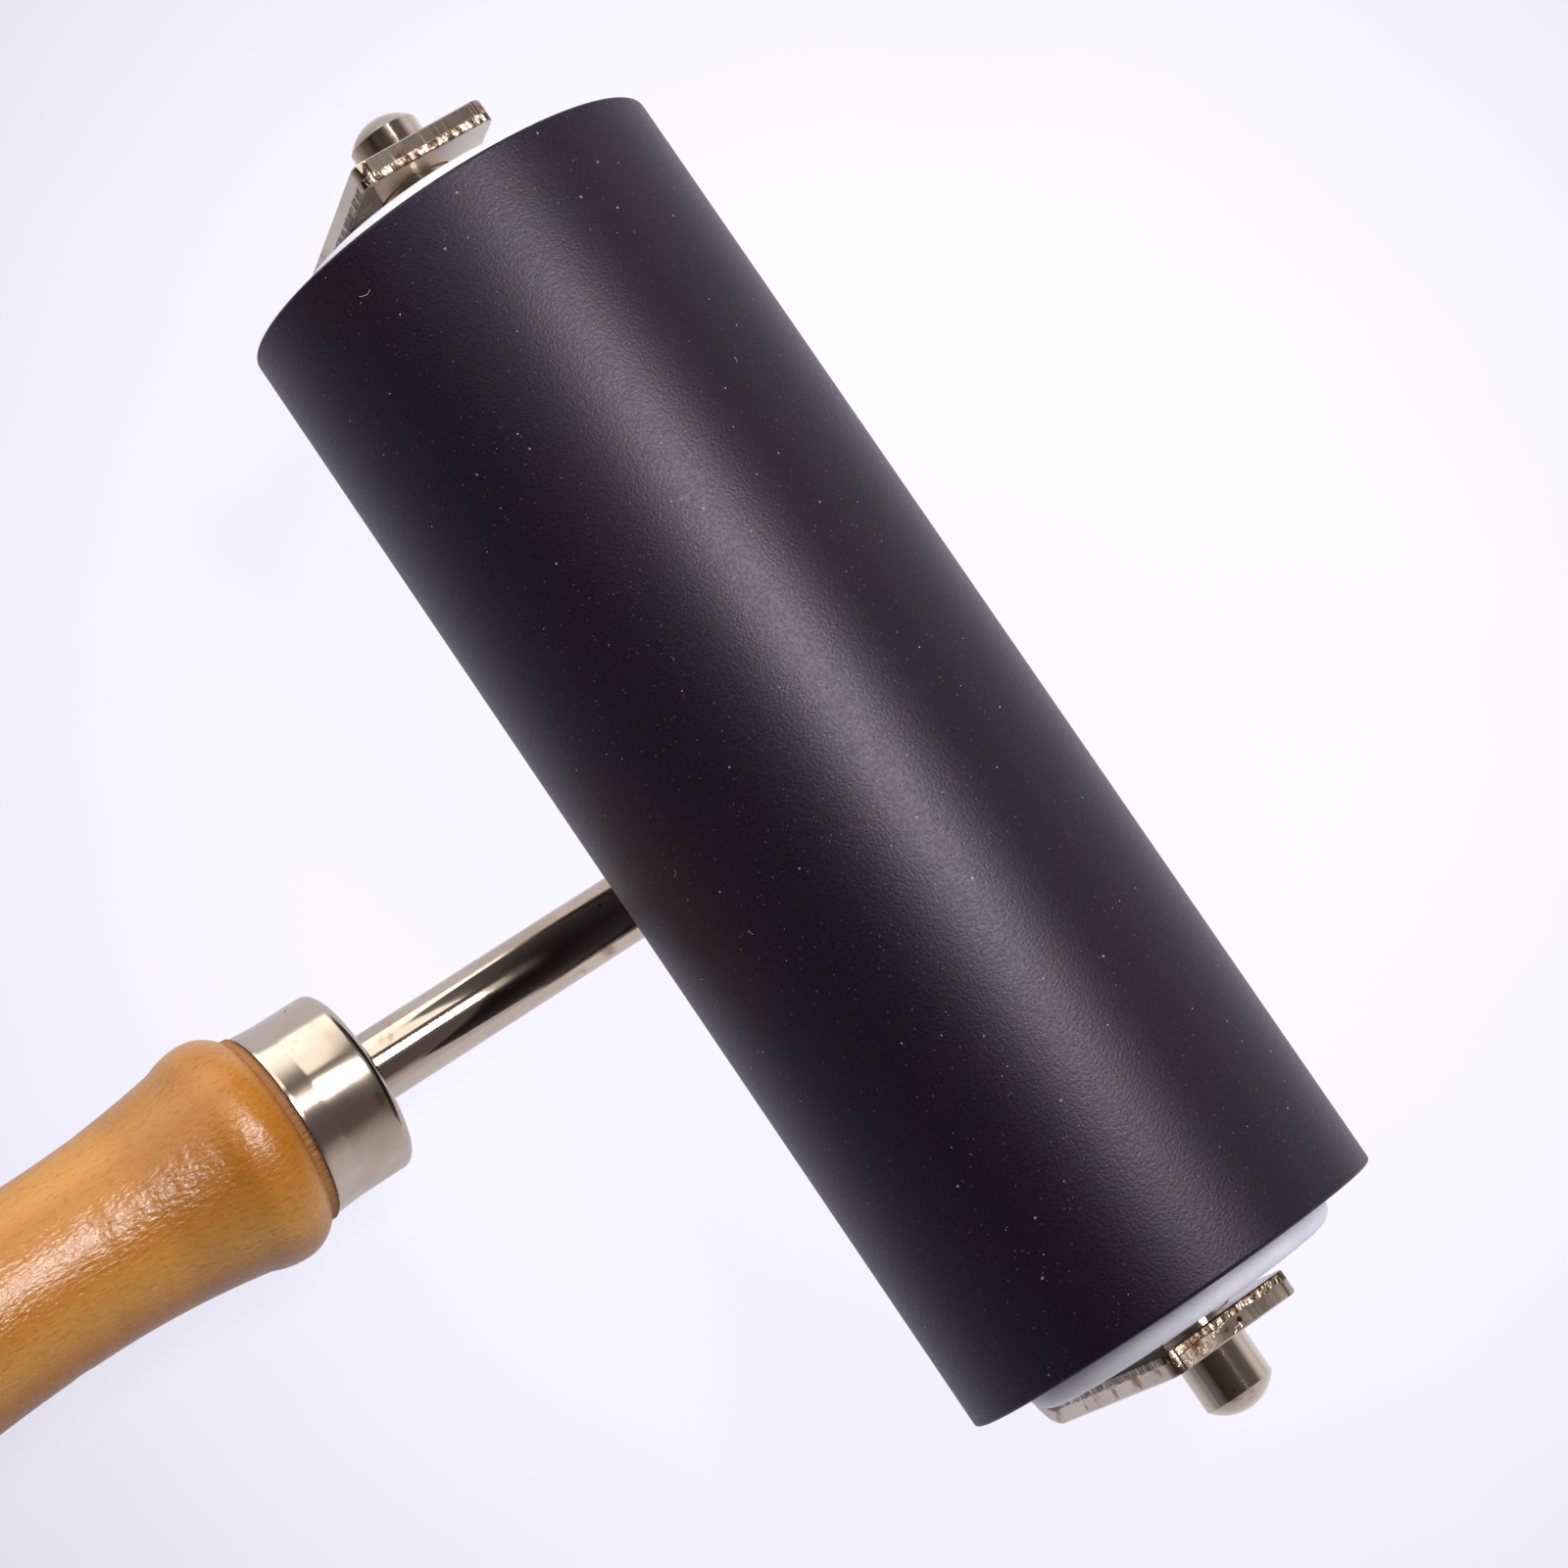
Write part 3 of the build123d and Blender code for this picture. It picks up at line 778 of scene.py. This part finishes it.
def cutHoles(piece):
    # the cutter flares at each face of the two arms, so the holes keep a broken edge
    r, e = strap["holeRadius"] * mm, strap["holeEdge"] * mm
    t, beyond = strap["thickness"] * mm, 2 * mm
    low, high = yokeLow.y, yokeHigh.y
    levels = [(low - beyond, r + e), (low, r + e), (low + e, r), (low + t - e, r), (low + t, r + e),
              (high - t, r + e), (high - t + e, r), (high - e, r), (high, r + e), (high + beyond, r + e)]
    outline = [(levels[0][0], 0)] + levels + [(levels[-1][0], 0)]
    place = placeAlong(Vector((axleCentre.x, 0, axleCentre.z)), leftward, upward)
    cutter = makeTurned("holeCutter", outline, place, strap["holeSegments"], nickelStrip, False)
    modifier = piece.modifiers.new("holes", "BOOLEAN")
    modifier.operation, modifier.object, modifier.solver = "DIFFERENCE", cutter, "EXACT"
    mesh = bpy.data.meshes.new_from_object(piece.evaluated_get(bpy.context.evaluated_depsgraph_get()))
    piece.modifiers.remove(modifier)
    piece.data = mesh
    bpy.data.objects.remove(cutter)


def strapDepth(co):
    # 0 on the roller's side of the strip, 1 on its outer side
    offset = co - shankZero
    bend = strap["bend"] * mm
    fromArm = min(yokeHigh.y - offset.y, offset.y - yokeLow.y)
    fromBack = offset.dot(upward) - strap["back"] * mm
    gap = min(fromArm, fromBack)
    if fromArm < bend and fromBack < bend:
        gap = bend - math.hypot(bend - fromArm, bend - fromBack)
    return 1 - min(max(gap / (strap["thickness"] * mm), 0), 1)


def strapCut(co):
    # 1 on the faces that the die cut: both long edges and the two tips
    offset = co - shankZero
    ahead, rise = abs(offset.dot(forward)), offset.dot(upward) - (strapTop - tipReach)
    width = strap["width"] / 2 * mm
    if rise > 0:
        width += math.sqrt(max(tipReach * tipReach - rise * rise, 0)) - tipReach
    return 1.0 if ahead > width - 0.02 * mm or rise > tipReach + 0.05 * mm else 0.0


yokeStrap = makeStrap()
tidyMesh(yokeStrap)
cutHoles(yokeStrap)
tidyMesh(yokeStrap, strap["sharpAngle"])
paintPoints(yokeStrap, "cutDepth", strapDepth)
paintPoints(yokeStrap, "cutEdge", strapCut)
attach(yokeStrap, "frame")
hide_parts("yoke")
print("yoke made")


# welds

weld = {"ripples": 15, "length": 10.6, "spacing": 3.0, "drop": 1.3, "radius": 1.62, "thick": 0.62, "seed": 3}


def makeWeldTree():
    # a row of overlapping ripples along x, each a flattened ball
    tree, inputs, outputs = startTree("weldRipples", "GeometryNodeTree", [
        ("Geometry", "NodeSocketGeometry", None), ("Count", "NodeSocketInt", 12), ("Length", "NodeSocketFloat", 0.01),
        ("Radius", "NodeSocketFloat", 0.0016), ("Thickness", "NodeSocketFloat", 0.5), ("Seed", "NodeSocketInt", 1),
        ("Finish", "NodeSocketMaterial", None)], [("Geometry", "NodeSocketGeometry")])
    step = maths(tree, "DIVIDE", inputs["Length"], maths(tree, "SUBTRACT", inputs["Count"], 1.0))
    start = maths(tree, "MULTIPLY", inputs["Length"], -0.5)
    row = addNode(tree, "GeometryNodeMeshLine", {
        "Count": inputs["Count"], "Start Location": vectorOf(tree, X=start), "Offset": vectorOf(tree, X=step)})
    ball = addNode(tree, "GeometryNodeMeshUVSphere", {"Segments": 24, "Rings": 12, "Radius": inputs["Radius"]})
    flat = addNode(tree, "GeometryNodeTransform", {
        "Geometry": ball.outputs["Mesh"], "Scale": vectorOf(tree, X=inputs["Thickness"], Y=1.0, Z=1.0)})
    copies = addNode(tree, "GeometryNodeInstanceOnPoints", {
        "Points": row.outputs[0], "Instance": flat.outputs[0],
        "Scale": randomBetween(tree, 0.88, 1.0, inputs["Seed"])})
    finishTree(tree, copies.outputs[0], inputs, outputs, smooth=True)
    return tree


weldTree = makeWeldTree()
emptySource = plainObject("nodeSource", [(0, 0, 0)], [], [])
for side, way in (("Left", 1), ("Right", -1)):
    place = Matrix((forward, leftward, upward)).transposed().to_4x4()
    place.translation = inWorld(0, way * weld["spacing"] * mm, (rod["radius"] - weld["drop"]) * mm)
    ripples = runTree(emptySource, weldTree, {
        "Count": weld["ripples"], "Length": (weld["length"] - 2 * weld["radius"] * weld["thick"]) * mm,
        "Radius": weld["radius"] * mm, "Thickness": weld["thick"], "Seed": weld["seed"] + way,
        "Finish": nickelWeld}, "weld" + side, place)
    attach(ripples, "frame")
    if side == "Left":
        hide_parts("weld_beads")
bpy.data.objects.remove(emptySource)
print("welds made")


# dust and lint on the rubber

lint = {"specks": 17000.0, "speckSize": 0.05, "fibres": 1100.0, "fibreLength": 1.1, "fibreRadius": 0.02, "seed": 11,
        "standOff": 0.026, "inside": 0.6, "endMargin": 0.8}


def makeLintTree():
    # flakes and short curved fibres lie scattered over the surface it is given
    tree, inputs, outputs = startTree("scatteredLint", "GeometryNodeTree", [
        ("Geometry", "NodeSocketGeometry", None), ("Specks", "NodeSocketFloat", 9000.0),
        ("Speck Size", "NodeSocketFloat", 0.00005), ("Fibres", "NodeSocketFloat", 600.0),
        ("Fibre Length", "NodeSocketFloat", 0.001), ("Fibre Radius", "NodeSocketFloat", 0.00002),
        ("Seed", "NodeSocketInt", 1), ("Finish", "NodeSocketMaterial", None)], [("Geometry", "NodeSocketGeometry")])
    spots = addNode(tree, "GeometryNodeDistributePointsOnFaces", {
        "Mesh": inputs["Geometry"], "Density": inputs["Specks"], "Seed": inputs["Seed"]})
    flake = addNode(tree, "GeometryNodeMeshIcoSphere", {"Radius": inputs["Speck Size"], "Subdivisions": 1})
    flatFlake = addNode(tree, "GeometryNodeTransform", {"Geometry": flake.outputs["Mesh"], "Scale": (1.0, 0.8, 0.3)})
    flakes = addNode(tree, "GeometryNodeInstanceOnPoints", {
        "Points": spots.outputs["Points"], "Instance": flatFlake.outputs[0], "Rotation": spots.outputs["Rotation"],
        "Scale": randomBetween(tree, 0.35, 1.5, 4)})
    starts = addNode(tree, "GeometryNodeDistributePointsOnFaces", {
        "Mesh": inputs["Geometry"], "Density": inputs["Fibres"], "Seed": maths(tree, "ADD", inputs["Seed"], 7.0)})
    bow = maths(tree, "MULTIPLY", inputs["Fibre Length"], 0.35)
    thread = addNode(tree, "GeometryNodeCurveQuadraticBezier", {
        "Resolution": 6, "Start": (0.0, 0.0, 0.0), "Middle": vectorOf(tree, X=bow, Y=bow),
        "End": vectorOf(tree, X=inputs["Fibre Length"])})
    section = addNode(tree, "GeometryNodeCurvePrimitiveCircle", {"Resolution": 5, "Radius": inputs["Fibre Radius"]})
    tube = addNode(tree, "GeometryNodeCurveToMesh", {
        "Curve": thread.outputs[0], "Profile Curve": section.outputs[0], "Fill Caps": True})
    around = addNode(tree, "FunctionNodeAxisAngleToRotation", {
        "Axis": (0.0, 0.0, 1.0), "Angle": randomBetween(tree, 0.0, 2 * math.pi, 9)})
    turned = addNode(tree, "FunctionNodeRotateRotation", {
        "Rotation": starts.outputs["Rotation"], "Rotate By": around.outputs[0]}, rotation_space="LOCAL")
    threads = addNode(tree, "GeometryNodeInstanceOnPoints", {
        "Points": starts.outputs["Points"], "Instance": tube.outputs[0], "Rotation": turned.outputs[0],
        "Scale": randomBetween(tree, 0.4, 1.0, 15)})
    both = addNode(tree, "GeometryNodeJoinGeometry")
    tree.links.new(flakes.outputs[0], both.inputs[0])
    tree.links.new(threads.outputs[0], both.inputs[0])
    finishTree(tree, both.outputs[0], inputs, outputs)
    return tree


def keepLintOnRoller(piece):
    # settles every flake and fibre onto the rubber's round, and drops those on its ends and inside
    work = bmesh.new()
    work.from_mesh(piece.data)
    radius = sleeve["radius"] * mm
    outermost = radius + lint["standOff"] * mm
    doomed = []
    for vertex in work.verts:
        x, z = vertex.co.x - axleCentre.x, vertex.co.z - axleCentre.z
        reach = math.hypot(x, z)
        if (reach < radius - lint["inside"] * mm
                or abs(vertex.co.y - rollerMiddle) > sleeveHalf * mm - lint["endMargin"] * mm):
            doomed.append(vertex)
        elif reach > outermost:
            vertex.co.x = axleCentre.x + x * outermost / reach
            vertex.co.z = axleCentre.z + z * outermost / reach
    # a flake or fibre goes whole, with everything joined to its doomed corners
    linked = set(doomed)
    waiting = list(doomed)
    while waiting:
        for edge in waiting.pop().link_edges:
            for other in edge.verts:
                if other not in linked:
                    linked.add(other)
                    waiting.append(other)
    bmesh.ops.delete(work, geom=list(linked), context="VERTS")
    work.to_mesh(piece.data)
    work.free()


scatter = runTree(rubberSleeve, makeLintTree(), {
    "Specks": lint["specks"], "Speck Size": lint["speckSize"] * mm, "Fibres": lint["fibres"],
    "Fibre Length": lint["fibreLength"] * mm, "Fibre Radius": lint["fibreRadius"] * mm, "Seed": lint["seed"],
    "Finish": dustWhite}, "rollerLint")
keepLintOnRoller(scatter)
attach(scatter, "roller")
print("lint scattered:", len(scatter.data.polygons), "faces")


# CAD nodes that stay

def dressNode(name, material):
    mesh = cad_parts[name].data
    mesh.materials.clear()
    mesh.materials.append(material)


dressNode("core_tube", whitePlastic)
dressNode("retaining_washer_left", springSteel)
dressNode("retaining_washer_right", springSteel)


# floor, light and camera

# the floor's glow is painted light: it fills in the floor's shadows and paints a pool of light round the roller
studio = {"floorSize": 3.0, "floor": colour(238, 236, 249), "floorFaint": 0.97, "floorPaint": (0.07, 0.0672),
          "floorCloud": {"Scale": 9.0, "Low": 0.2, "High": 0.8}, "floorRoughness": 0.9, "floorSpecular": 0.1,
          "paintedFloorGlow": (1.09, 0.73), "poolCentre": (0.085, 0.0, 0.0), "poolReach": (0.035, 0.15),
          "handleSideReflectedGlow": 0.42, "nearReach": (-0.05, 0.1), "leftTent": 0.2, "rightTent": 0.92,
          "tentReach": (-0.8, 0.8), "warm": (1.0, 0.9, 0.88, 1), "cool": (0.97, 0.97, 1.0, 1),
          "backdrop": (0.86, 0.85, 0.93, 1),
          "tent": ((0.0, (0.88, 0.87, 0.95, 1)), (0.22, (0.86, 0.84, 0.9, 1)), (0.4, (0.6, 0.56, 0.58, 1)),
                   (0.58, (0.18, 0.15, 0.15, 1)), (1.0, (0.14, 0.12, 0.14, 1)))}
lamps = {"keyLight": {"place": (0.3, 0.1, 0.95), "target": (0.064, 0.02, 0.03), "size": 0.3, "power": 8.4,
                      "tint": (1.0, 0.985, 0.97)},
         "sideLight": {"place": (-0.1, 0.85, 0.52), "target": (0, 0, 0.02), "size": 1.2, "power": 6.6,
                       "tint": (1.0, 0.97, 0.94)}}
shot = {"lens": 100.29, "distance": 339.99, "azimuth": -158.37, "elevation": 76.65, "roll": 34.61,
        "aside": -1.81, "above": -2.02}


def makeFloor():
    size = studio["floorSize"]
    floor = plainObject("floor", [(-size, -size, 0), (size, -size, 0), (size, size, 0), (-size, size, 0)], [],
                        [(0, 1, 2, 3)])
    material, tree, surface, place = startMaterial("paleFloor", turned=False)
    cloud = fromGroup(tree, blotchGroup, Vector=place, **studio["floorCloud"])
    tone = blendColours(tree, cloud, studio["floor"], scaled(studio["floor"], studio["floorFaint"]))
    paint = blendColours(tree, cloud, *(scaled(studio["floor"], factor) for factor in studio["floorPaint"]))
    # the floor glows as painted light that washes out its shadows, brightest round the roller as a painted pool of
    # light under the soft box
    away = addNode(tree, "ShaderNodeVectorMath", {0: place, 1: studio["poolCentre"]}, operation="DISTANCE")
    paintedGlow = mapRange(tree, away.outputs["Value"], studio["poolReach"], studio["paintedFloorGlow"], "SMOOTHSTEP")
    # the object sees a dimmer floor on the handle's side than the camera does: the painted glow is turned down there,
    # which darkens the roller's reflection on that side
    ahead = addNode(tree, "ShaderNodeSeparateXYZ", {"Vector": place}).outputs["X"]
    reflectedGlowDimming = mapRange(tree, ahead, studio["nearReach"], (studio["handleSideReflectedGlow"], 1.0))
    camera = addNode(tree, "ShaderNodeLightPath").outputs["Is Camera Ray"]
    strength = maths(tree, "MULTIPLY", paintedGlow, maths(tree, "MAXIMUM", reflectedGlowDimming, camera))
    lit = addNode(tree, "ShaderNodeVectorMath", {0: tone, "Scale": strength}, operation="SCALE")
    setInputs(tree, surface, {
        "Base Color": paint, "Emission Color": lit.outputs[0], "Emission Strength": 1.0,
        "Roughness": studio["floorRoughness"], "Specular IOR Level": studio["floorSpecular"]})
    floor.data.materials.append(material)


def addArea(name, place, target, size, power, tint):
    data = bpy.data.lights.new(name, "AREA")
    data.energy, data.size, data.color = power, size, tint
    lamp = bpy.data.objects.new(name, data)
    lamp.location = place
    lamp.rotation_euler = (Vector(place) - Vector(target)).to_track_quat("Z", "Y").to_euler()
    scene.collection.objects.link(lamp)


def makeWorld():
    # pale near the horizon like a light tent, dark and brownish towards the ceiling
    world = bpy.data.worlds.new("tent")
    scene.world = world
    world.use_nodes = True
    tree = world.node_tree
    background = tree.nodes["Background"]
    direction = addNode(tree, "ShaderNodeTexCoord").outputs["Generated"]
    parts = addNode(tree, "ShaderNodeSeparateXYZ", {"Vector": direction}).outputs
    ramp = addNode(tree, "ShaderNodeValToRGB", {"Fac": parts["Z"]})
    stops = ramp.color_ramp.elements
    stops.remove(stops[1])
    stops[0].position, stops[0].color = studio["tent"][0]
    for position, tone in studio["tent"][1:]:
        stops.new(position).color = tone
    # the tent is dimmer and warmer on the handle's side
    side = mapRange(tree, parts["X"], studio["tentReach"])
    tinted = addNode(tree, "ShaderNodeMix", {
        0: 1.0, 6: ramp.outputs["Color"], 7: blendColours(tree, side, studio["warm"], studio["cool"])},
        data_type="RGBA", blend_type="MULTIPLY")
    setInputs(tree, background, {
        "Color": tinted.outputs[2],
        "Strength": mapRange(tree, side, given=(studio["leftTent"], studio["rightTent"]))})
    # what shows behind the object stays pale all round
    pale = addNode(tree, "ShaderNodeBackground", {"Color": studio["backdrop"]})
    seen = addNode(tree, "ShaderNodeLightPath")
    mixed = addNode(tree, "ShaderNodeMixShader", {
        0: seen.outputs["Is Camera Ray"], 1: background.outputs[0], 2: pale.outputs[0]})
    tree.links.new(mixed.outputs[0], tree.nodes["World Output"].inputs["Surface"])


def makeCamera():
    # the camera looks down on the roller's middle from the handle's side
    azimuth, elevation, roll = (math.radians(shot[key]) for key in ("azimuth", "elevation", "roll"))
    outwards = math.cos(elevation)
    back = Vector((outwards * math.cos(azimuth), outwards * math.sin(azimuth), math.sin(elevation)))
    level = Vector((0, 0, 1)).cross(back).normalized()
    steep = back.cross(level)
    right = level * math.cos(roll) + steep * math.sin(roll)
    up = back.cross(right)
    data = bpy.data.cameras.new("camera")
    data.lens, data.sensor_width, data.clip_start = shot["lens"], 36.0, 0.01
    camera = bpy.data.objects.new("camera", data)
    scene.collection.objects.link(camera)
    turn = Matrix((right, up, back)).transposed().to_4x4()
    turn.translation = (rollerCentre + right * shot["aside"] * mm + up * shot["above"] * mm
                        + back * shot["distance"] * mm)
    camera.matrix_world = turn
    scene.camera = camera


makeFloor()
makeWorld()
for name, values in lamps.items():
    addArea(name, **values)
makeCamera()
scene.view_settings.view_transform = "Standard"
scene.view_settings.look = "None"
print("studio set")
